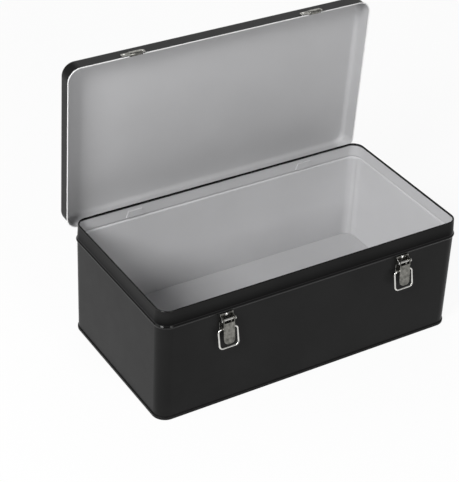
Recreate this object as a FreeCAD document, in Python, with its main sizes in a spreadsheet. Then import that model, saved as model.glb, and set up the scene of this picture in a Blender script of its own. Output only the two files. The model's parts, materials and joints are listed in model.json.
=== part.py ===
"""A hinged tin box for seed packets: seamed tinplate body, pressed lid, two toggle latches on the front."""
import FreeCAD, Part
import math
import os
from types import SimpleNamespace

import Sketcher
from FreeCAD import Placement, Rotation, Vector

# Driving dimensions in millimetres and degrees.
SIZES = {
    # Body wall: one bent sheet with a neck, a bead under the neck and a rolled rim
    "box_width": 320,
    "box_depth": 168,
    "box_height": 118,
    "corner_radius": 12,
    "tin": 0.3,
    "neck_height": 16.4,
    "neck_inset": 0.8,
    "rim_roll": 0.85,
    "bead_proud": 1.1,
    "bead_half": 2.0,
    # Pressed pockets in the back of the neck, one behind each hinge
    "pocket_width": 19,
    "pocket_slant": 2.5,
    "pocket_height": 7,
    "pocket_depth": 1.2,
    "pocket_base": 0.4,
    # Foot seam between the wall and the countersunk bottom
    "seam_height": 3.0,
    "seam_round": 0.5,
    "seam_fit": 0.05,
    "hook_gap": 0.2,
    "hook_height": 2.2,
    "floor_rise": 9,
    "panel_land": 3,
    # Lapped seam down the inside of the back right corner
    "side_seam_width": 4,
    "side_seam_proud": 0.6,
    # Lid: a pressed pan whose skirt ends in a hem rolled outward
    "lid_gap": 0.35,
    "lid_lift": 0.2,
    "lid_depth": 17.5,
    "lid_edge": 5,
    "hem_roll": 0.5,
    "open_angle": 87,
    # Hinges on the back, each with two leaves and a pin
    "hinge_spacing": 190,
    "hinge_width": 20,
    "hinge_plate": 0.6,
    "hinge_out": 4.2,
    "hinge_drop": 5.5,
    "knuckle_radius": 1.5,
    "middle_knuckle": 7.2,
    "knuckle_gap": 0.4,
    "hinge_pin_radius": 0.8,
    "hinge_pin_proud": 0.4,
    "pin_fit": 0.05,
    "body_joggle": 5,
    "body_leaf_drop": 15,
    "lid_joggle": 3,
    "lid_leaf_rise": 17.5,
    # Latch base: a plate on the front wall with two ears
    "latch_spacing": 190,
    "latch_drop": 24,
    "latch_plate": 0.7,
    "pivot_out": 3.8,
    "pivot_radius": 1.1,
    "pivot_head_radius": 1.7,
    "pivot_head": 0.6,
    "base_up": 5,
    "base_down": 11,
    "ear_foot": 4,
    "ear_round": 1.8,
    "side_gap": 0.35,
    # Latch lever: a channel with two cheeks, a slot under its pivot and a bent finger lip
    "lever_width": 11.4,
    "lever_length": 23.5,
    "lever_lean": 1.6,
    "lever_lip": 1.6,
    "lip_drop": 18.5,
    "cheek_round": 1.8,
    "cheek_end": 14,
    "slot_drop": 2.8,
    "tip_round": 4.5,
    # Wire bail that pivots in the cheeks and closes over the strike
    "wire_radius": 0.9,
    "bail_drop": 9.5,
    "bail_boss": 1.6,
    "bail_width": 19.4,
    "bail_length": 18.5,
    "bail_tilt": 12,
    "bail_shoulder": 3.2,
    "bail_corner": 3.4,
    "bail_tip": 0.6,
    "bail_clearance": 0.35,
    # Strike on the lid: a riveted plate that steps over the hem into an open hook
    "strike_width": 24,
    "strike_height": 5,
    "strike_corner": 1.5,
    "hem_gap": 0.15,
    "hook_width": 12.6,
    "hook_lip": 2.2,
    # Rivets
    "rivet_radius": 0.9,
    "rivet_head_radius": 1.6,
    "rivet_head": 0.5,
    "rivet_tail": 0.35,
    "base_rivet_up": 3.1,
    "base_rivet_down": 8.4,
    "strike_rivet_side": 9.2,
    # How far a cut runs past the surface that it starts from
    "overrun": 1,
}

doc = FreeCAD.newDocument("seed_storage_box")
sheet = doc.addObject("Spreadsheet::Sheet", "sizes")
for row, (alias, number) in enumerate(SIZES.items(), 1):
    sheet.set(f"A{row}", alias)
    sheet.set(f"B{row}", str(number))
    sheet.setAlias(f"B{row}", alias)
doc.recompute()


class Size:
    """A number that remembers the sheet formula it comes from."""

    def __init__(self, value, formula):
        self.value = float(value)
        self.formula = formula

    def joined(self, sign, other, value):
        return Size(value, f"({self.formula} {sign} {size(other).formula})")

    def __add__(self, other):
        return self.joined("+", other, self.value + size(other).value)

    def __sub__(self, other):
        return self.joined("-", other, self.value - size(other).value)

    def __mul__(self, other):
        return self.joined("*", other, self.value * size(other).value)

    def __truediv__(self, other):
        return self.joined("/", other, self.value / size(other).value)

    def __neg__(self):
        return Size(-self.value, f"(-{self.formula})")


def size(term):
    """A plain number as a size of its own."""
    return term if isinstance(term, Size) else Size(term, str(term))


def sine(angle):
    return Size(math.sin(math.radians(angle.value)), f"sin({angle.formula})")


def slope(rise, run):
    """The angle in degrees of a line that rises by one size over another."""
    return Size(math.degrees(math.atan2(rise.value, run.value)), f"atan({rise.formula} / {run.formula})")


d = SimpleNamespace(**{alias: Size(sheet.get(alias), f"sizes.{alias}") for alias in SIZES})

# Places shared by several pieces, in the box's own frame: middle of the foot at zero.
bead_z = d.box_height - d.neck_height
lid_edge_z = bead_z + d.bead_half + d.lid_lift
hinge_y = d.box_depth / 2 + d.hinge_out
hinge_z = lid_edge_z - d.hinge_drop
pivot_y = d.box_depth / 2 + d.pivot_out
pivot_z = d.box_height - d.latch_drop
bail_z = pivot_z - d.bail_drop
skirt_out = d.lid_gap + d.tin
trough_radius = d.wire_radius + d.bail_clearance
hem_step = d.hem_roll * 2 - d.tin + d.hem_gap
trough_out = hem_step + d.latch_plate + trough_radius
bail_back = d.pivot_out - skirt_out - trough_out
lip_out = d.cheek_round + d.lever_lean + d.lever_lip
# The frame's origin lies on the floor under the middle of the open box, from lever lips to open lid.
front_reach = pivot_y + lip_out
back_reach = hinge_y + (d.hinge_drop + d.lid_depth) * sine(d.open_angle)
box_y = (front_reach - back_reach) / 2
# How far the side seam's strip sinks into the sheet, as a share of the sheet's thickness
seam_bite_share = 0.25

sides = {"left": -1, "right": 1}
parts = []


class Arc:
    """A round stretch of an outline, from the point before it to its own end."""

    def __init__(self, end, centre, anticlockwise):
        self.end = end
        self.centre = centre
        self.anticlockwise = anticlockwise


def ccw(end, centre):
    return Arc(end, centre, True)


def clockwise(end, centre):
    return Arc(end, centre, False)


def vector(point):
    return Vector(size(point[0]).value, size(point[1]).value, 0)


def new_body(name):
    body = doc.addObject("PartDesign::Body", name)
    body.Label = name
    parts.append(body)
    return body


def new_sketch(body, role, offset=None):
    """A sketch on one of the body's origin planes, moved along the plane's normal by an offset."""
    plane = next(item for item in body.Origin.OriginFeatures if item.Role == role)
    sketch = body.newObject("Sketcher::SketchObject", f"{body.Name}_sketch")
    sketch.AttachmentSupport = [(plane, "")]
    sketch.MapMode = "FlatFace"
    if offset is not None:
        sketch.setExpression(".AttachmentOffset.Base.z", offset.formula)
    return sketch


def constrain(sketch, kind, target, amount):
    """Add a dimension to a sketch and bind it to the sheet."""
    index = sketch.addConstraint(Sketcher.Constraint(kind, *target, size(amount).value))
    if isinstance(amount, Size):
        sketch.setExpression(f"Constraints[{index}]", amount.formula)


def fix(sketch, curve, vertex, point):
    constrain(sketch, "DistanceX", (curve, vertex), point[0])
    constrain(sketch, "DistanceY", (curve, vertex), point[1])


def arc_edge(here, arc):
    """The arc as a sketch curve, which always runs anticlockwise."""
    middle = vector(arc.centre)
    first, last = (here, arc.end) if arc.anticlockwise else (arc.end, here)
    spokes = [vector(point) - middle for point in (first, last)]
    angles = [math.atan2(spoke.y, spoke.x) for spoke in spokes]
    return Part.ArcOfCircle(Part.Circle(middle, Vector(0, 0, 1), spokes[0].Length), *angles)


def centre_arc(sketch, curve, here, arc):
    """Hold an arc between its two ends by the coordinate of its centre that the ends leave free."""
    chord = vector(arc.end) - vector(here)
    if abs(chord.y) >= abs(chord.x):
        constrain(sketch, "DistanceX", (curve, 3), arc.centre[0])
    else:
        constrain(sketch, "DistanceY", (curve, 3), arc.centre[1])


def draw(sketch, start, *steps, closed=True):
    """Draw lines and arcs through points whose places are bound to the sheet."""
    here = start
    before = None
    for step in steps + ((start,) if closed else ()):
        head, tail = 1, 2
        if isinstance(step, Arc):
            there = step.end
            curve = sketch.addGeometry(arc_edge(here, step))
            centre_arc(sketch, curve, here, step)
            if not step.anticlockwise:
                head, tail = 2, 1
        else:
            there = step
            curve = sketch.addGeometry(Part.LineSegment(vector(here), vector(there)))
        fix(sketch, curve, head, here)
        if before is None:
            opening = (curve, head)
        else:
            sketch.addConstraint(Sketcher.Constraint("Coincident", *before, curve, head))
        before = (curve, tail)
        here = there
    if closed:
        sketch.addConstraint(Sketcher.Constraint("Coincident", *before, *opening))
    else:
        fix(sketch, *before, here)
    return sketch


def circle(sketch, x, y, radius):
    curve = sketch.addGeometry(Part.Circle(vector((x, y)), Vector(0, 0, 1), radius.value))
    fix(sketch, curve, 3, (x, y))
    constrain(sketch, "Radius", (curve,), radius)
    return sketch


def rectangle(sketch, low, high):
    return draw(sketch, low, (high[0], low[1]), high, (low[0], high[1]))


def rounded_rectangle(sketch, half_width, half_depth, radius, middle):
    """A rectangle with round corners about the point (0, middle), drawn from the middle of its back."""
    x, inner_x = half_width, half_width - radius
    back, inner_back = middle + half_depth, middle + half_depth - radius
    front, inner_front = middle - half_depth, middle - half_depth + radius
    return draw(
        sketch,
        (0, back),
        (inner_x, back),
        clockwise((x, inner_back), (inner_x, inner_back)),
        (x, inner_front),
        clockwise((inner_x, front), (inner_x, inner_front)),
        (-inner_x, front),
        clockwise((-x, inner_front), (-inner_x, inner_front)),
        (-x, inner_back),
        clockwise((-inner_x, back), (-inner_x, inner_back)),
    )


def feature(body, kind, sketch, length, symmetric=False, backward=False):
    """Pad or pocket a sketch, checking that the body's volume really changes."""
    before = body.Tip.Shape.Volume if body.Tip else 0
    made = body.newObject(f"PartDesign::{kind}", f"{body.Name}_{kind}")
    made.Profile = sketch
    made.Reversed = backward
    made.setExpression("Length", length.formula)
    if symmetric:
        made.SideType = "Symmetric"
    doc.recompute()
    change = made.Shape.Volume - before
    if (change > 0) != (kind == "Pad") or change == 0:
        raise ValueError(f"{made.Label} changes the volume by {change}")


def pad(body, sketch, length, symmetric=False):
    feature(body, "Pad", sketch, length, symmetric)


def pocket(body, sketch, length, symmetric=False):
    feature(body, "Pocket", sketch, length, symmetric)


def turn(body, section):
    """Revolve a half section about its own horizontal axis."""
    made = body.newObject("PartDesign::Revolution", f"{body.Name}_turn")
    made.Profile = section
    made.ReferenceAxis = (section, ["H_Axis"])
    made.Angle = 360
    doc.recompute()


def pipe(body, profile, spine):
    """Sweep a closed profile along a path."""
    made = body.newObject("PartDesign::AdditivePipe", f"{body.Name}_pipe")
    made.Profile = profile
    made.Spine = spine
    doc.recompute()


def round_edges(body, radius, chosen):
    """Fillet the edges of the body that pass a test."""
    base = body.Tip
    names = [f"Edge{i}" for i, edge in enumerate(base.Shape.Edges, 1) if chosen(edge)]
    made = body.newObject("PartDesign::Fillet", f"{body.Name}_fillet")
    made.Base = (base, names)
    made.setExpression("Radius", radius.formula)
    doc.recompute()


def place(body, x, y, z):
    """Put a piece of the body or a latch at a point of the box's frame."""
    body.setExpression(".Placement.Base.x", size(x).formula)
    body.setExpression(".Placement.Base.y", (box_y + y).formula)
    body.setExpression(".Placement.Base.z", size(z).formula)


def face_front(body, tilt=0):
    """Turn a piece so that its own +Y points out of the box's front, and swing its foot out by a tilt."""
    body.Placement = Placement(Vector(), Rotation(Vector(0, 0, 1), 180) * Rotation(Vector(1, 0, 0), tilt))


def open_lid(body, local):
    """Place a piece of the lid, given where it sits on the closed lid about the hinge axis."""
    axis = Vector(0, (box_y + hinge_y).value, hinge_z.value)
    body.Placement = Placement(axis, Rotation(Vector(-1, 0, 0), d.open_angle.value)) * local


def wall_point(n, z):
    """A point of the back wall's section, n out from the wall's outer plane."""
    return (d.box_depth / 2 + n, size(z))


def body_wall():
    """The wall: hooked foot, straight side, bead, leaning neck and a rim rolled tightly inward."""
    body = new_body("body_wall")
    spine = new_sketch(body, "XY_Plane")
    rounded_rectangle(spine, d.box_width / 2, d.box_depth / 2, d.corner_radius, size(0))
    foot = d.tin + d.seam_fit
    low, high = bead_z - d.bead_half, bead_z + d.bead_half
    bend = (d.bead_half * d.bead_half + d.bead_proud * d.bead_proud) / (d.bead_proud * 4)
    inner_n = d.bead_proud / 2 + d.tin * (d.bead_proud - bend * 2) / (bend * 2)
    inner_rise = d.bead_half / 2 - d.tin * d.bead_half / (bend * 2)
    crest = wall_point(d.bead_proud - bend, bead_z)
    roll = wall_point(-d.neck_inset - d.rim_roll, d.box_height - d.rim_roll)
    roll_foot = roll[1] - d.rim_roll
    profile = draw(
        new_sketch(body, "YZ_Plane"),
        wall_point(d.hook_gap, d.hook_height),
        wall_point(d.hook_gap, foot + d.tin),
        wall_point(0, foot + d.tin),
        wall_point(0, low),
        clockwise(wall_point(d.bead_proud / 2, bead_z - d.bead_half / 2), wall_point(bend, low)),
        ccw(wall_point(d.bead_proud / 2, bead_z + d.bead_half / 2), crest),
        clockwise(wall_point(0, high), wall_point(bend, high)),
        (roll[0] + d.rim_roll, roll[1]),
        ccw((roll[0], roll_foot), roll),
        (roll[0] + d.rim_roll - d.tin, roll_foot),
        wall_point(-d.tin, high),
        ccw(wall_point(inner_n, bead_z + inner_rise), wall_point(bend, high)),
        clockwise(wall_point(inner_n, bead_z - inner_rise), crest),
        ccw(wall_point(-d.tin, low), wall_point(bend, low)),
        wall_point(-d.tin, foot),
        wall_point(d.hook_gap + d.tin, foot),
        wall_point(d.hook_gap + d.tin, d.hook_height),
    )
    pipe(body, profile, spine)
    side_seam(body, low)
    hinge_pockets(body, high)
    holes = new_sketch(body, "XZ_Plane", d.box_depth / 2 + d.overrun)
    for side in sides.values():
        for z in (pivot_z + d.base_rivet_up, pivot_z - d.base_rivet_down):
            circle(holes, d.latch_spacing / 2 * side, z, d.rivet_radius + d.pin_fit)
    pocket(body, holes, d.tin + d.overrun * 2)
    place(body, 0, size(0), 0)


def side_seam(body, top):
    """Lap the wall's ends as a flat strip inside one back corner, from just over the floor to the bead."""
    start = d.floor_rise + d.tin
    sketch = new_sketch(body, "XY_Plane", start)
    sketch.AttachmentOffset = Placement(Vector(), Rotation(Vector(0, 0, 1), 45))
    sketch.setExpression(".AttachmentOffset.Base.x", (d.box_width / 2 - d.corner_radius).formula)
    sketch.setExpression(".AttachmentOffset.Base.y", (d.box_depth / 2 - d.corner_radius).formula)
    half = d.side_seam_width / 2
    face = d.corner_radius - d.tin - d.side_seam_proud
    rectangle(sketch, (face, -half), (d.corner_radius - d.tin * (1 - seam_bite_share), half))
    pad(body, sketch, top - start)


def hinge_pockets(body, neck_low):
    """Press a trapezoid into the neck behind each hinge, square to the neck's lean."""
    lean = slope(d.neck_inset, d.box_height - d.rim_roll - neck_low)
    for kind, skin in (("Pad", 0), ("Pocket", d.tin)):
        sketch = new_sketch(body, "XZ_Plane")
        sketch.AttachmentOffset = Placement(Vector(), Rotation(Vector(1, 0, 0), lean.value))
        sketch.setExpression(".AttachmentOffset.Base.y", neck_low.formula)
        sketch.setExpression(".AttachmentOffset.Base.z", (-d.box_depth / 2).formula)
        sketch.setExpression(".AttachmentOffset.Rotation.Angle", lean.formula)
        low, high = d.pocket_base + skin, d.pocket_base + d.pocket_height - skin
        for side in sides.values():
            middle = d.hinge_spacing / 2 * side
            foot = d.pocket_width / 2 - skin
            head = foot - d.pocket_slant
            corners = ((foot, low), (head, high), (-head, high), (-foot, low))
            draw(sketch, *((middle + x, z) for x, z in corners))
        feature(body, kind, sketch, d.pocket_depth - skin, backward=kind == "Pocket")


def plate(body, edge, low, middle):
    """Fill a ring with a flat panel one sheet thick, whose edge lies inside the ring's own land."""
    outline = new_sketch(body, "XY_Plane", low)
    half_width = d.box_width / 2 + edge
    half_depth = d.box_depth / 2 + edge
    rounded_rectangle(outline, half_width, half_depth, d.corner_radius + edge, middle)
    pad(body, outline, d.tin)


def bottom_panel():
    """The countersunk bottom, whose edge closes round the wall's hooked foot as a seam."""
    body = new_body("bottom_panel")
    spine = new_sketch(body, "XY_Plane")
    rounded_rectangle(spine, d.box_width / 2, d.box_depth / 2, d.corner_radius, size(0))
    inner = -d.tin - d.seam_fit
    outer = d.hook_gap + d.tin + d.seam_fit
    bend, floor, top = d.seam_round, d.floor_rise, d.seam_height
    low_outer = outer + d.tin - bend
    profile = draw(
        new_sketch(body, "YZ_Plane"),
        wall_point(-d.panel_land, floor),
        wall_point(inner - bend, floor),
        clockwise(wall_point(inner, floor - bend), wall_point(inner - bend, floor - bend)),
        wall_point(inner, d.tin),
        wall_point(outer, d.tin),
        wall_point(outer, top - d.tin),
        wall_point(d.seam_fit, top - d.tin),
        wall_point(d.seam_fit, top),
        wall_point(low_outer, top),
        clockwise(wall_point(outer + d.tin, top - bend), wall_point(low_outer, top - bend)),
        wall_point(outer + d.tin, bend),
        clockwise(wall_point(low_outer, 0), wall_point(low_outer, bend)),
        wall_point(inner - d.tin, 0),
        wall_point(inner - d.tin, floor - d.tin),
        wall_point(-d.panel_land, floor - d.tin),
    )
    pipe(body, profile, spine)
    plate(body, -d.panel_land / 2, floor - d.tin, size(0))
    place(body, 0, size(0), 0)


def lid_point(n, z):
    """A point of the lid's back section about the hinge axis, n out from the wall's outer plane."""
    return (n - d.hinge_out, z)


def lid_shell():
    """The lid: flat panel, rounded edge, skirt and tight rolled hem, drawn closed about the hinge axis."""
    body = new_body("lid_shell")
    middle = -hinge_y
    spine = new_sketch(body, "XY_Plane")
    rounded_rectangle(spine, d.box_width / 2, d.box_depth / 2, d.corner_radius, middle)
    low, top = d.hinge_drop, d.hinge_drop + d.lid_depth
    roll = lid_point(d.lid_gap + d.hem_roll, low + d.hem_roll)
    hem_head = roll[1] + d.hem_roll
    bend = lid_point(skirt_out - d.lid_edge, top - d.lid_edge)
    land = bend[0] - d.panel_land
    profile = draw(
        new_sketch(body, "YZ_Plane"),
        (roll[0] - d.hem_roll, roll[1]),
        ccw((roll[0], hem_head), roll),
        lid_point(skirt_out, hem_head),
        lid_point(skirt_out, bend[1]),
        ccw((bend[0], top), bend),
        (land, top),
        (land, top - d.tin),
        (bend[0], top - d.tin),
        clockwise(lid_point(d.lid_gap, bend[1]), bend),
    )
    pipe(body, profile, spine)
    plate(body, skirt_out - d.lid_edge - d.panel_land / 2, top - d.tin, middle)
    holes = new_sketch(body, "XZ_Plane", hinge_y + d.box_depth / 2 + skirt_out + d.overrun)
    for side in sides.values():
        for x in (-d.strike_rivet_side, d.strike_rivet_side):
            circle(holes, d.latch_spacing / 2 * side + x, strike_rivet_z(), d.rivet_radius + d.pin_fit)
    pocket(body, holes, d.tin + d.overrun * 2)
    open_lid(body, Placement())


def strike_z():
    """Height of the strike's trough over the hinge axis, level with the bail's bar when it is closed."""
    return bail_z + d.bail_length - hinge_z


def wing_z():
    """Height of the foot of the strike's wings over the hinge axis, where the plate clears the hem."""
    return d.hinge_drop + d.hem_roll * 2 + d.hem_gap + hem_step


def strike_rivet_z():
    return wing_z() + d.strike_height / 2


def knuckle(body, width, reach):
    """A barrel on the hinge axis, joined to the leaf that reaches it, with the pin's bore through both."""
    pad(body, circle(new_sketch(body, "YZ_Plane"), 0, 0, d.knuckle_radius), width, True)
    bore = circle(new_sketch(body, "YZ_Plane"), 0, 0, d.hinge_pin_radius + d.pin_fit)
    pocket(body, bore, reach, True)


def hinge(name, side):
    """One hinge: a leaf on the back wall, a leaf on the lid's skirt and the pin."""
    x = d.hinge_spacing / 2 * side
    near, far = -d.knuckle_radius, d.hinge_plate - d.knuckle_radius
    wall, skirt = -d.hinge_out, skirt_out - d.hinge_out

    leaf = new_body(f"hinge_body_leaf_{name}")
    strap = draw(
        new_sketch(leaf, "YZ_Plane"),
        (wall, -d.body_leaf_drop),
        (wall + d.hinge_plate, -d.body_leaf_drop),
        (wall + d.hinge_plate, -d.body_joggle),
        (far, size(0)),
        (near, size(0)),
        (wall, -d.body_joggle),
    )
    pad(leaf, strap, d.hinge_width, True)
    knuckle(leaf, d.hinge_width, d.hinge_width + d.overrun)
    edge = d.knuckle_radius + d.knuckle_gap
    notch = rectangle(new_sketch(leaf, "YZ_Plane"), (-edge - d.overrun, -edge), (edge, edge))
    pocket(leaf, notch, d.middle_knuckle + d.knuckle_gap * 2, True)
    place(leaf, x, hinge_y, hinge_z)

    leaf = new_body(f"hinge_lid_leaf_{name}")
    clear = d.hinge_drop + d.hem_roll * 2
    strap = draw(
        new_sketch(leaf, "YZ_Plane"),
        (near, edge),
        (near, clear),
        (skirt, clear + d.lid_joggle),
        (skirt, d.lid_leaf_rise),
        (skirt + d.hinge_plate, d.lid_leaf_rise),
        (skirt + d.hinge_plate, clear + d.lid_joggle),
        (far, clear),
        (far, edge),
    )
    pad(leaf, strap, d.hinge_width, True)
    pad(leaf, rectangle(new_sketch(leaf, "YZ_Plane"), (near, size(0)), (far, clear)), d.middle_knuckle, True)
    knuckle(leaf, d.middle_knuckle, d.hinge_width)
    open_lid(leaf, Placement(Vector(x.value, 0, 0), Rotation()))

    pin = new_body(f"hinge_pin_{name}")
    section = circle(new_sketch(pin, "YZ_Plane"), 0, 0, d.hinge_pin_radius)
    pad(pin, section, d.hinge_width + d.hinge_pin_proud * 2, True)
    place(pin, x, hinge_y, hinge_z)


def rivet(name, grip):
    """A rivet along +Y, its tapered head seated at zero and its tail closed behind the grip."""
    body = new_body(name)
    section = draw(
        new_sketch(body, "YZ_Plane"),
        (-grip - d.rivet_tail, size(0)),
        (-grip - d.rivet_tail, d.rivet_head_radius),
        (-grip, d.rivet_head_radius),
        (-grip, d.rivet_radius),
        (size(0), d.rivet_radius),
        (size(0), d.rivet_head_radius),
        (d.rivet_head, d.rivet_radius),
        (d.rivet_head, size(0)),
    )
    turn(body, section)
    return body


def latch_base(name, x):
    """The fixed plate: its two sides are bent out as ears that carry the lever's pivot."""
    body = new_body(f"latch_base_{name}")
    inner = d.lever_width + d.side_gap * 2
    wall, face = -d.pivot_out, d.latch_plate - d.pivot_out
    ear = draw(
        new_sketch(body, "YZ_Plane"),
        (wall, -d.ear_foot),
        (size(0), -d.ear_round),
        ccw((size(0), d.ear_round), (0, 0)),
        (wall, d.ear_foot),
    )
    pad(body, ear, inner + d.latch_plate * 2, True)
    gap = rectangle(new_sketch(body, "YZ_Plane"), (wall - d.overrun, -d.ear_foot), (d.ear_foot, d.ear_foot))
    pocket(body, gap, inner, True)
    sole = rectangle(new_sketch(body, "YZ_Plane"), (wall, -d.base_down), (face, d.base_up))
    pad(body, sole, inner + d.latch_plate * 2, True)
    bore = circle(new_sketch(body, "YZ_Plane"), 0, 0, d.pivot_radius + d.pin_fit)
    pocket(body, bore, inner + d.latch_plate * 2 + d.overrun, True)
    holes = new_sketch(body, "XZ_Plane", d.pivot_out + d.overrun)
    for z in (d.base_rivet_up, -d.base_rivet_down):
        circle(holes, 0, z, d.rivet_radius + d.pin_fit)
    pocket(body, holes, d.latch_plate + d.overrun * 2)
    face_front(body)
    place(body, x, -pivot_y, pivot_z)

    for end, z in (("top", d.base_rivet_up), ("foot", -d.base_rivet_down)):
        body = rivet(f"latch_rivet_{name}_{end}", d.latch_plate + d.tin)
        face_front(body)
        place(body, x, -d.box_depth / 2 - d.latch_plate, pivot_z + z)


def latch_pin(name, x):
    """The pivot, a shaft through both ears with a flat head on each end."""
    body = new_body(f"latch_pin_{name}")
    grip = d.lever_width / 2 + d.side_gap + d.latch_plate + d.pin_fit
    end = grip + d.pivot_head
    section = draw(
        new_sketch(body, "XY_Plane"),
        (-end, size(0)),
        (-end, d.pivot_head_radius),
        (-grip, d.pivot_head_radius),
        (-grip, d.pivot_radius),
        (grip, d.pivot_radius),
        (grip, d.pivot_head_radius),
        (end, d.pivot_head_radius),
        (end, size(0)),
    )
    turn(body, section)
    place(body, x, -pivot_y, pivot_z)


def latch_lever(name, x):
    """The lever: side outline padded to full width, then hollowed to two cheeks and a plate."""
    body = new_body(f"latch_lever_{name}")
    plate_out = d.cheek_round + d.lever_lean
    skin = d.latch_plate
    across = d.lever_width + d.overrun
    cheek_n = d.cheek_round + d.lever_lean * d.cheek_end / d.lip_drop - skin
    slot_n = d.cheek_round + d.lever_lean * d.slot_drop / d.lip_drop - skin
    boss = (-bail_back, -d.bail_drop)
    outline = draw(
        new_sketch(body, "YZ_Plane"),
        (-d.cheek_round, size(0)),
        clockwise((d.cheek_round, size(0)), (0, 0)),
        (plate_out, -d.lip_drop),
        (lip_out, -d.lever_length),
        (lip_out - skin, -d.lever_length),
        (plate_out - skin, -d.lip_drop),
        (cheek_n, -d.cheek_end),
        (boss[0], boss[1] - d.bail_boss),
        clockwise((boss[0] - d.bail_boss, boss[1]), boss),
    )
    pad(body, outline, d.lever_width, True)
    back = boss[0] - d.bail_boss - d.overrun
    head = d.cheek_round + d.overrun
    hollow = draw(
        new_sketch(body, "YZ_Plane"),
        (back, head),
        (head, head),
        (head + d.lever_lean, -d.slot_drop),
        (slot_n, -d.slot_drop),
        (plate_out - skin, -d.lip_drop),
        (back, -d.lip_drop),
    )
    pocket(body, hollow, d.lever_width - skin * 2, True)
    bores = circle(new_sketch(body, "YZ_Plane"), 0, 0, d.pivot_radius + d.pin_fit)
    circle(bores, *boss, d.wire_radius + d.pin_fit)
    pocket(body, bores, across, True)
    flank, tip, bend = d.lever_width / 2, -d.lever_length, d.tip_round
    corners = new_sketch(body, "XZ_Plane")
    for side in sides.values():
        edge, inner, outside = flank * side, (flank - bend) * side, (flank + d.overrun) * side
        turn_corner = clockwise if side > 0 else ccw
        draw(
            corners,
            (edge, tip + bend),
            turn_corner((inner, tip), (inner, tip + bend)),
            (inner, tip - d.overrun),
            (outside, tip - d.overrun),
            (outside, tip + bend),
        )
    pocket(body, corners, (lip_out + d.overrun) * 2, True)
    face_front(body)
    place(body, x, -pivot_y, pivot_z)


def latch_bail(name, x):
    """The bail: round wire from one cheek, over the shoulders and along the bar to the other cheek."""
    body = new_body(f"latch_bail_{name}")
    tip = d.lever_width / 2 - d.latch_plate - d.bail_tip
    half, length = d.bail_width / 2, d.bail_length
    bend, corner = d.bail_shoulder, d.bail_corner
    path = draw(
        new_sketch(body, "XZ_Plane"),
        (-tip, size(0)),
        (bend - half, size(0)),
        ccw((-half, -bend), (bend - half, -bend)),
        (-half, corner - length),
        ccw((corner - half, -length), (corner - half, corner - length)),
        (half - corner, -length),
        ccw((half, corner - length), (half - corner, corner - length)),
        (half, -bend),
        ccw((half - bend, size(0)), (half - bend, -bend)),
        (tip, size(0)),
        closed=False,
    )
    pipe(body, circle(new_sketch(body, "YZ_Plane", -tip), 0, 0, d.wire_radius), path)
    face_front(body, d.bail_tilt.value)
    place(body, x, -pivot_y + bail_back, bail_z)


def strike(name, x):
    """The strike: a winged plate that steps out over the hem and curls into the hook for the bail's bar."""
    body = new_body(f"strike_{name}")
    skin, far = d.latch_plate, trough_out + trough_radius
    centre = (trough_out, size(0))
    foot = wing_z() - strike_z()
    top = foot + d.strike_height
    hook = draw(
        new_sketch(body, "YZ_Plane"),
        (size(0), top),
        (size(0), foot),
        (hem_step, foot - hem_step),
        (hem_step, size(0)),
        ccw((far + skin, size(0)), centre),
        (far + skin, d.hook_lip),
        (far, d.hook_lip),
        (far, size(0)),
        clockwise((hem_step + skin, size(0)), centre),
        (hem_step + skin, foot - hem_step),
        (skin, foot),
        (skin, top),
    )
    pad(body, hook, d.hook_width, True)
    wings = rectangle(new_sketch(body, "YZ_Plane"), (size(0), foot), (skin, top))
    pad(body, wings, d.strike_width, True)
    flank = d.strike_width.value / 2

    def wing_corner(edge):
        at_end = all(math.isclose(abs(vertex.X), flank) for vertex in edge.Vertexes)
        return at_end and math.isclose(edge.Length, skin.value)

    round_edges(body, d.strike_corner, wing_corner)
    holes = new_sketch(body, "XZ_Plane", d.overrun)
    for side in sides.values():
        circle(holes, d.strike_rivet_side * side, foot + d.strike_height / 2, d.rivet_radius + d.pin_fit)
    pocket(body, holes, skin + d.overrun * 2)
    front = Rotation(Vector(0, 0, 1), 180)
    face = -(hinge_y + d.box_depth / 2 + skirt_out)
    open_lid(body, Placement(Vector(x.value, face.value, strike_z().value), front))

    for end, side in (("inner", -1), ("outer", 1)):
        body = rivet(f"strike_rivet_{name}_{end}", skin + d.tin)
        out = x + d.strike_rivet_side * side * sides[name]
        seat = Vector(out.value, (face - skin).value, strike_rivet_z().value)
        open_lid(body, Placement(seat, front))


body_wall()
bottom_panel()
lid_shell()
for name, side in sides.items():
    hinge(name, side)
    latch_x = d.latch_spacing / 2 * side
    latch_base(name, latch_x)
    latch_pin(name, latch_x)
    latch_lever(name, latch_x)
    latch_bail(name, latch_x)
    strike(name, latch_x)

doc.recompute()
for item in doc.Objects:
    if {"Invalid", "Error"} & set(item.State):
        raise ValueError(f"{item.Label} failed: {item.State}")
for body in parts:
    if body.Shape.isNull() or not body.Shape.isValid() or len(body.Shape.Solids) != 1:
        raise ValueError(f"{body.Label} isn't one valid solid")

os.makedirs("parts", exist_ok=True)
for body in parts:
    body.Shape.exportStep(f"parts/{body.Label}.step")
    print(f"{body.Label}: {body.Shape.Volume:.1f} mm3, {len(body.Shape.Faces)} faces")
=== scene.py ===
"""Looks for the tin seed box: two lacquers on the sheet, plated latches, a soft studio and the camera."""
import json
import math

import bpy
import numpy as np
from mathutils import Matrix, Vector

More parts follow.
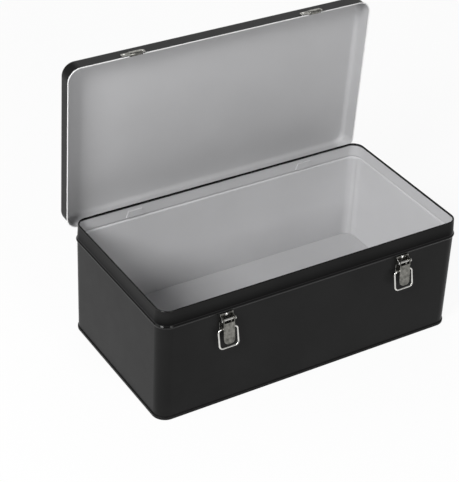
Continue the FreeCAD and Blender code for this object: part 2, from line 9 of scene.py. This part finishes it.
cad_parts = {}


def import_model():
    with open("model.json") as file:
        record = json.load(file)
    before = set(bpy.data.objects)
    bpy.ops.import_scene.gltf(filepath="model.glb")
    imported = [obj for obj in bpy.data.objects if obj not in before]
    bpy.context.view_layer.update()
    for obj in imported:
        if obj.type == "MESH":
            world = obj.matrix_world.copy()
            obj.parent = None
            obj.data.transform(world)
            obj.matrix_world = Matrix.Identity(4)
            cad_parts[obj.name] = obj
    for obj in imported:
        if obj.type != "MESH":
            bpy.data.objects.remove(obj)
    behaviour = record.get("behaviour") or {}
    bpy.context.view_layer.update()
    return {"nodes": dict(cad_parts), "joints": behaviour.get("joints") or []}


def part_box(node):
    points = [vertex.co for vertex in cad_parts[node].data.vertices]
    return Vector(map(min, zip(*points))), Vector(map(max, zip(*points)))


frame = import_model()
nodes = frame["nodes"]
lid_joint = next(joint for joint in frame["joints"] if joint["name"] == "lid_hinge")
OPEN_ANGLE = math.radians(-lid_joint["range_deg"][0])

# Where the finishes change on the sheet, in metres. Heights count from the ground.
RIM_ROLL = 0.0017
# The painted shadow inside, a black band below the rim roll: its depth below the roll and the fade at its
# foot
RIM_SHADOW_DEPTH = 0.0013
RIM_SHADOW_FADE = 0.0001
BEAD_HEIGHT = 0.1016
BEAD_HALF = 0.002
# How far above the bead's crease the neck's painted shade starts to run to black
CREASE_SHADE_REACH = 0.009
POCKET_HEIGHT = 0.1075
POCKET_HALF_WIDTH = 0.0105
POCKET_HALF_HEIGHT = POCKET_HALF_WIDTH / 2
POCKET_DEPTH = 0.004
FLOOR_BAND = 0.0009
HEM_ROLL = 0.001

# Which way faces look, as shares of their direction: what counts as inside, as sideways and as level
BODY_INSIDE_SHARE = 0.38
LID_INSIDE_SHARE = -0.1
LID_DOWN_SHARE = -0.5
SIDEWAYS_SHARE = 0.5
LEVEL_SHARE = 0.001

# The broken edges of the pressed pieces: width and weld in metres, and the angle that is sharp
EDGE_BREAK = 0.00012
WELD_REACH = 0.000001
SHARP_ANGLE = math.radians(40)

# Noise: the part of its range that is used, and its scale in each finish
NOISE_LOW = 0.3
NOISE_HIGH = 0.7
MOTTLE_SCALE = 18
GLOSS_SCALE = 60
PEEL_SCALE = 900
PATCH_SCALE = 300
STREAK_SCALE = 500
STREAK_STRETCH = (1, 1, 0.12)

# Depth in metres, and strength, of the bumps in each finish
PEEL_BUMP = (0.00005, 0.25)
STREAK_BUMP = (0.00004, 0.2)

# The black that painted shade runs the coats to, and the grey coats' blue and light spots against their tone
PAINTED_SHADE_BLACK = (0.002, 0.002, 0.002)
COOL_SHARE = 1.016
MOTTLE_SHARE = 1.05

# Camera: where it stands round the box, what it looks at and how it is rolled
CAMERA_AZIMUTH = math.radians(-32.57)
CAMERA_ELEVATION = math.radians(33.41)
CAMERA_ROLL = math.radians(2.61)
CAMERA_DISTANCE = 1.536
CAMERA_AIM = Vector((-0.0064, 0.0456, 0.0647))
CAMERA_LENS = 118.4

# Stage: the floor's width, its colour, and how much of it the camera and reflections see as plain white
WHITE = (1, 1, 1, 1)
FLOOR_WIDTH = 8
FLOOR_COLOUR = (0.9, 0.9, 0.9, 1)
FLOOR_GLOW_SHARE = 0.93

# Light: an even surround, how white reflections see it, and softboxes given by place, width and power
SURROUND = 0.1
REFLECTED_SHARE = 0.3
SOFTBOXES = {
    "key": ((-1.3, -0.6, 1.1), 0.55, 25),
    "side": ((-1.6, 0.2, 0.8), 1.0, 6),
    "front": ((0.1, -1.85, 1.08), 0.5, 11.5),
    "back": ((0.9, 1.4, 1.5), 1.6, 10),
}


class Graph:
    """The node graph of a material or of the world."""

    def __init__(self, owner, shader, output):
        owner.use_nodes = True
        self.owner = owner
        self.tree = owner.node_tree
        self.shader = self.tree.nodes[shader]
        self.output = self.tree.nodes[output]

    def add(self, kind, **settings):
        """A new node, with its settings by name."""
        node = self.tree.nodes.new(f"ShaderNode{kind}")
        for key, value in settings.items():
            setattr(node, key, value)
        return node

    def link(self, source, target):
        self.tree.links.new(source, target)

    def set(self, values):
        """Fixed values on the shader's own sockets."""
        for socket, value in values.items():
            self.shader.inputs[socket].default_value = value

    def noise(self, scale, detail, stretch=(1, 1, 1)):
        """Noise in the object's own space, stretched along its axes."""
        place = self.add("TexCoord")
        mapping = self.add("Mapping")
        mapping.inputs["Scale"].default_value = stretch
        texture = self.add("TexNoise")
        texture.inputs["Scale"].default_value = scale
        texture.inputs["Detail"].default_value = detail
        self.link(place.outputs["Object"], mapping.inputs["Vector"])
        self.link(mapping.outputs["Vector"], texture.inputs["Vector"])
        return texture.outputs["Fac"]

    def between(self, factor, low, high):
        """A number that runs from low to high with a noise."""
        remap = self.add("MapRange")
        remap.inputs["From Min"].default_value = NOISE_LOW
        remap.inputs["From Max"].default_value = NOISE_HIGH
        remap.inputs["To Min"].default_value = low
        remap.inputs["To Max"].default_value = high
        self.link(factor, remap.inputs["Value"])
        return remap.outputs["Result"]

    def blend(self, factor, low, high):
        """A colour that runs from low to high with a noise."""
        ramp = self.add("ValToRGB")
        first, last = ramp.color_ramp.elements
        first.position = NOISE_LOW
        first.color = (*low, 1)
        last.position = NOISE_HIGH
        last.color = (*high, 1)
        self.link(factor, ramp.inputs["Fac"])
        return ramp.outputs["Color"]

    def shade_to_black(self, coat, plain, full):
        """Painted shade: a coat that is itself at one height and runs to black at another."""
        place = self.add("TexCoord")
        split = self.add("SeparateXYZ")
        rise = self.add("MapRange")
        rise.inputs["From Min"].default_value = plain
        rise.inputs["From Max"].default_value = full
        mix = self.add("MixRGB")
        mix.inputs["Color2"].default_value = (*PAINTED_SHADE_BLACK, 1)
        self.link(place.outputs["Object"], split.inputs["Vector"])
        self.link(split.outputs["Z"], rise.inputs["Value"])
        self.link(rise.outputs["Result"], mix.inputs["Fac"])
        self.link(coat, mix.inputs["Color1"])
        return mix.outputs["Color"]

    def bump(self, height, distance, strength):
        bump = self.add("Bump")
        bump.inputs["Distance"].default_value = distance
        bump.inputs["Strength"].default_value = strength
        self.link(height, bump.inputs["Height"])
        self.link(bump.outputs["Normal"], self.shader.inputs["Normal"])


def material_graph(name):
    return Graph(bpy.data.materials.new(name), "Principled BSDF", "Material Output")


def even(tone):
    """A colour without a tint."""
    return (tone, tone, tone)


def lacquer(name, dark, light, gloss, specular, painted_shade=None):
    """Stoved lacquer on tinplate: faint mottling, uneven gloss and a fine orange peel, and where given,
    painted shade that runs it to black by height.
    """
    graph = material_graph(name)
    peel = graph.noise(PEEL_SCALE, detail=1)
    coat = graph.blend(graph.noise(MOTTLE_SCALE, detail=3), dark, light)
    if painted_shade:
        coat = graph.shade_to_black(coat, *painted_shade)
    graph.link(coat, graph.shader.inputs["Base Color"])
    graph.link(graph.between(graph.noise(GLOSS_SCALE, detail=2), *gloss), graph.shader.inputs["Roughness"])
    graph.set({"Specular IOR Level": specular})
    graph.bump(peel, *PEEL_BUMP)
    return graph.owner


def grey_coat(name, tone, painted_shade=None):
    """The cool grey lacquer of the inside. Each sheet gets a tone of its own, set by how brightly light
    falls on it: painted light and shade.
    """
    dark = (tone, tone, tone * COOL_SHARE)
    light = [value * MOTTLE_SHARE for value in dark]
    return lacquer(name, dark, light, gloss=(0.45, 0.5), specular=0.35, painted_shade=painted_shade)


def nickel(name, dull, bright, gloss):
    """Plating over steel, with drawn streaks and slightly dull patches."""
    graph = material_graph(name)
    streaks = graph.noise(STREAK_SCALE, detail=2, stretch=STREAK_STRETCH)
    patches = graph.noise(PATCH_SCALE, detail=3)
    graph.link(graph.blend(patches, dull, bright), graph.shader.inputs["Base Color"])
    graph.link(graph.between(streaks, *gloss), graph.shader.inputs["Roughness"])
    graph.set({"Metallic": 1.0})
    graph.bump(streaks, *STREAK_BUMP)
    return graph.owner


# Black coats: the walls, the glossier rim and bead, the neck with painted shade that darkens it towards its
# crease above the bead, and the hinges
# The neck's painted shade runs from the plain coat above the crease down to black at the crease
crease = BEAD_HEIGHT + BEAD_HALF
crease_shade = (crease + CREASE_SHADE_REACH, crease)
black = lacquer("black_lacquer", even(0.009), even(0.012), gloss=(0.34, 0.38), specular=0.08)
# Rim and bead are glossier, and their base is darker than the walls' black: painted shade that deepens the
# rim's dark line
rim_black = lacquer("rim_lacquer", even(0.0015), even(0.0028), gloss=(0.1, 0.16), specular=0.25)
neck_black_painted_shade = lacquer(
    "neck_lacquer_painted_shade", even(0.012), even(0.015), gloss=(0.34, 0.38), specular=0.04, painted_shade=crease_shade
)
hinge_black = lacquer("hinge_steel", even(0.008), even(0.014), gloss=(0.42, 0.55), specular=0.3)

# Grey coats: the inner wall, which carries a painted shadow, a black band just below the rim roll where its
# shade falls; the floor, the lid and its pale hem
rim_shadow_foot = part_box("body_wall")[1].z - RIM_ROLL - RIM_SHADOW_DEPTH
# Wall, floor and lid are one grey lacquer, lighter or darker by how light falls on each sheet: painted light
# and shade
wall_grey = grey_coat("wall_grey", 0.515, painted_shade=(rim_shadow_foot, rim_shadow_foot + RIM_SHADOW_FADE))
floor_grey = grey_coat("floor_grey", 0.485)
lid_grey = grey_coat("lid_grey", 0.45)
# The hem is the inner grey coat rolled outward, painted far paler than it: a painted highlight
hem_coat_and_highlight = lacquer("hem_lacquer_and_highlight", even(0.74), even(0.82), gloss=(0.35, 0.45), specular=0.5)

# Plating: on the stamped pieces a base far darker than nickel's own, a painted dark reflection of the
# surroundings; bright on wire, pins and rivets
plating_painted_reflection = nickel("nickel_plate", (0.1, 0.1, 0.09), (0.26, 0.255, 0.235), gloss=(0.24, 0.36))
wire = nickel("bright_wire", (0.58, 0.575, 0.55), (0.7, 0.695, 0.67), gloss=(0.08, 0.16))


def faces(name):
    """Centres and normals of a node's faces, one row each."""
    polygons = nodes[name].data.polygons
    centres = np.empty(len(polygons) * 3, np.float32)
    normals = np.empty(len(polygons) * 3, np.float32)
    polygons.foreach_get("center", centres)
    polygons.foreach_get("normal", normals)
    return centres.reshape(-1, 3), normals.reshape(-1, 3)


def paint(name, base, *layers):
    """Give a node its base material, and then each layer's material on the faces that the layer picks."""
    mesh = nodes[name].data
    mesh.materials.clear()
    mesh.materials.append(base)
    choice = np.zeros(len(mesh.polygons), np.int32)
    for number, (picked, material) in enumerate(layers, 1):
        mesh.materials.append(material)
        choice[picked] = number
    mesh.polygons.foreach_set("material_index", choice)


def outward_share(centres, normals, middle):
    """How far each face looks away from the middle of its ring: 1 straight out, 0 sideways, up or down."""
    away = centres[:, :2] - np.array(middle[:2])
    away /= np.linalg.norm(away, axis=1, keepdims=True)
    flat = normals[:, :2]
    length = np.linalg.norm(flat, axis=1)
    return (away * flat).sum(1) / np.where(length > LEVEL_SHARE, length, 1)


def paint_body():
    """Black outside, glossier on bead and rim, with painted shade darkening the neck towards its crease,
    grey inside with a painted shadow below the rim roll, and grey on its pockets.
    """
    low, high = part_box("body_wall")
    centres, normals = faces("body_wall")
    inside = outward_share(centres, normals, (low + high) / 2) < BODY_INSIDE_SHARE
    at_back = (centres[:, 1] > high.y - POCKET_DEPTH) & (abs(normals[:, 1]) < SIDEWAYS_SHARE)
    for name in ("hinge_pin_left", "hinge_pin_right"):
        pin_low, pin_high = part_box(name)
        across = centres[:, 0] - (pin_low.x + pin_high.x) / 2
        up = centres[:, 2] - POCKET_HEIGHT
        pocket_side = at_back & (abs(across) < POCKET_HALF_WIDTH) & (abs(up) < POCKET_HALF_HEIGHT)
        swells = across * normals[:, 0] + up * normals[:, 2] > 0
        inside = np.where(pocket_side, swells, inside)
    # The neck's lacquer carries painted shade towards the crease above the bead
    neck = centres[:, 2] > BEAD_HEIGHT
    bead = (abs(centres[:, 2] - BEAD_HEIGHT) < BEAD_HALF) & ~inside
    rim = centres[:, 2] > high.z - RIM_ROLL
    paint("body_wall", black, (neck, neck_black_painted_shade), (inside, wall_grey), (bead | rim, rim_black))


def paint_bottom():
    """Grey floor inside, black below and on the seam."""
    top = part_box("bottom_panel")[1].z
    centres, normals = faces("bottom_panel")
    inside = (normals[:, 2] > 0) & (centres[:, 2] > top - FLOOR_BAND)
    paint("bottom_panel", black, (inside, floor_grey))


def paint_lid():
    """Black outside, grey inside, and a hem where the inner coat is rolled outward, painted far paler than
    that coat: a painted highlight along the hem.
    """
    axis = np.array(lid_joint["pos_m"])
    cosine, sine = math.cos(OPEN_ANGLE), math.sin(OPEN_ANGLE)
    closed = np.array(((1, 0, 0), (0, cosine, -sine), (0, sine, cosine)))
    centres, normals = faces("lid_shell")
    centres = (centres - axis) @ closed.T
    normals = normals @ closed.T
    middle = (centres.min(0) + centres.max(0)) / 2
    looks_in = outward_share(centres, normals, middle) < LID_INSIDE_SHARE
    looks_down = normals[:, 2] < LID_DOWN_SHARE
    hem = centres[:, 2] < centres[:, 2].min() + HEM_ROLL
    paint("lid_shell", black, (looks_in | looks_down, lid_grey), (hem, hem_coat_and_highlight))


def soften_with_highlight(name):
    """Break the sharp edges of a pressed piece, and give them the bright wire plating: a painted highlight
    along the edges.
    """
    materials = nodes[name].data.materials
    materials.append(wire)
    weld = nodes[name].modifiers.new("weld", "WELD")
    weld.merge_threshold = WELD_REACH
    edges = nodes[name].modifiers.new("edges", "BEVEL")
    edges.width = EDGE_BREAK
    # Painted highlight: the broken edges take the bright wire plating
    edges.material = len(materials) - 1
    edges.segments = 2
    edges.limit_method = "ANGLE"
    edges.angle_limit = SHARP_ANGLE


def paint_hardware():
    """Bright wire, pins and rivets, stamped latch pieces darker than nickel as a painted dark reflection,
    with painted highlights on their broken edges, and black hinges.
    """
    for name in nodes:
        if name.startswith(("latch_bail", "latch_pin")) or "rivet" in name:
            paint(name, wire)
        elif name.startswith(("latch", "strike")):
            paint(name, plating_painted_reflection)
        elif name.startswith("hinge"):
            paint(name, hinge_black)
        if name.startswith(("latch_lever", "latch_base", "strike_left", "strike_right")):
            soften_with_highlight(name)


def floor():
    """A wide white floor that shows the camera and reflections its own white, and keeps a faint shadow."""
    bpy.ops.mesh.primitive_plane_add(size=FLOOR_WIDTH)
    plane = bpy.context.object
    plane.name = "floor"
    graph = material_graph("floor_white")
    graph.set({"Base Color": FLOOR_COLOUR, "Roughness": 0.9, "Specular IOR Level": 0.1})
    glow = graph.add("Emission")
    rays = graph.add("LightPath")
    seen = graph.add("Math", operation="MAXIMUM")
    part = graph.add("Math", operation="MULTIPLY")
    part.inputs[1].default_value = FLOOR_GLOW_SHARE
    mix = graph.add("MixShader")
    graph.link(rays.outputs["Is Camera Ray"], seen.inputs[0])
    graph.link(rays.outputs["Is Glossy Ray"], seen.inputs[1])
    graph.link(seen.outputs[0], part.inputs[0])
    graph.link(part.outputs[0], mix.inputs["Fac"])
    graph.link(graph.shader.outputs[0], mix.inputs[1])
    graph.link(glow.outputs[0], mix.inputs[2])
    graph.link(mix.outputs[0], graph.output.inputs["Surface"])
    plane.data.materials.append(graph.owner)


def world():
    """Even soft light from all round, plain white for the camera and dimmer in reflections."""
    graph = Graph(bpy.data.worlds.new("studio"), "Background", "World Output")
    bpy.context.scene.world = graph.owner
    graph.set({"Color": WHITE, "Strength": SURROUND})
    white = graph.add("Background")
    white.inputs["Color"].default_value = WHITE
    rays = graph.add("LightPath")
    seen = graph.add("Math", operation="MULTIPLY_ADD")
    seen.inputs[1].default_value = REFLECTED_SHARE
    mix = graph.add("MixShader")
    graph.link(rays.outputs["Is Glossy Ray"], seen.inputs[0])
    graph.link(rays.outputs["Is Camera Ray"], seen.inputs[2])
    graph.link(seen.outputs[0], mix.inputs["Fac"])
    graph.link(graph.shader.outputs[0], mix.inputs[1])
    graph.link(white.outputs[0], mix.inputs[2])
    graph.link(mix.outputs[0], graph.output.inputs["Surface"])


def softbox(name, place, width, power):
    """A square area light that faces the box."""
    data = bpy.data.lights.new(name, "AREA")
    data.size = width
    data.energy = power
    lamp = bpy.data.objects.new(name, data)
    bpy.context.scene.collection.objects.link(lamp)
    lamp.location = place
    lamp.rotation_euler = (CAMERA_AIM - Vector(place)).to_track_quat("-Z", "Y").to_euler()


def camera():
    """A long lens at the photograph's viewing angle."""
    data = bpy.data.cameras.new("camera")
    data.lens = CAMERA_LENS
    made = bpy.data.objects.new("camera", data)
    bpy.context.scene.collection.objects.link(made)
    level = math.cos(CAMERA_ELEVATION)
    back = Vector((
        math.sin(CAMERA_AZIMUTH) * level,
        -math.cos(CAMERA_AZIMUTH) * level,
        math.sin(CAMERA_ELEVATION),
    ))
    turn = (-back).to_track_quat("-Z", "Y").to_matrix().to_4x4()
    place = Matrix.Translation(CAMERA_AIM + back * CAMERA_DISTANCE)
    made.matrix_world = place @ turn @ Matrix.Rotation(CAMERA_ROLL, 4, "Z")
    bpy.context.scene.camera = made


paint_body()
paint_bottom()
paint_lid()
paint_hardware()
floor()
world()
for name, setting in SOFTBOXES.items():
    softbox(name, *setting)
camera()
bpy.context.scene.view_settings.view_transform = "Standard"
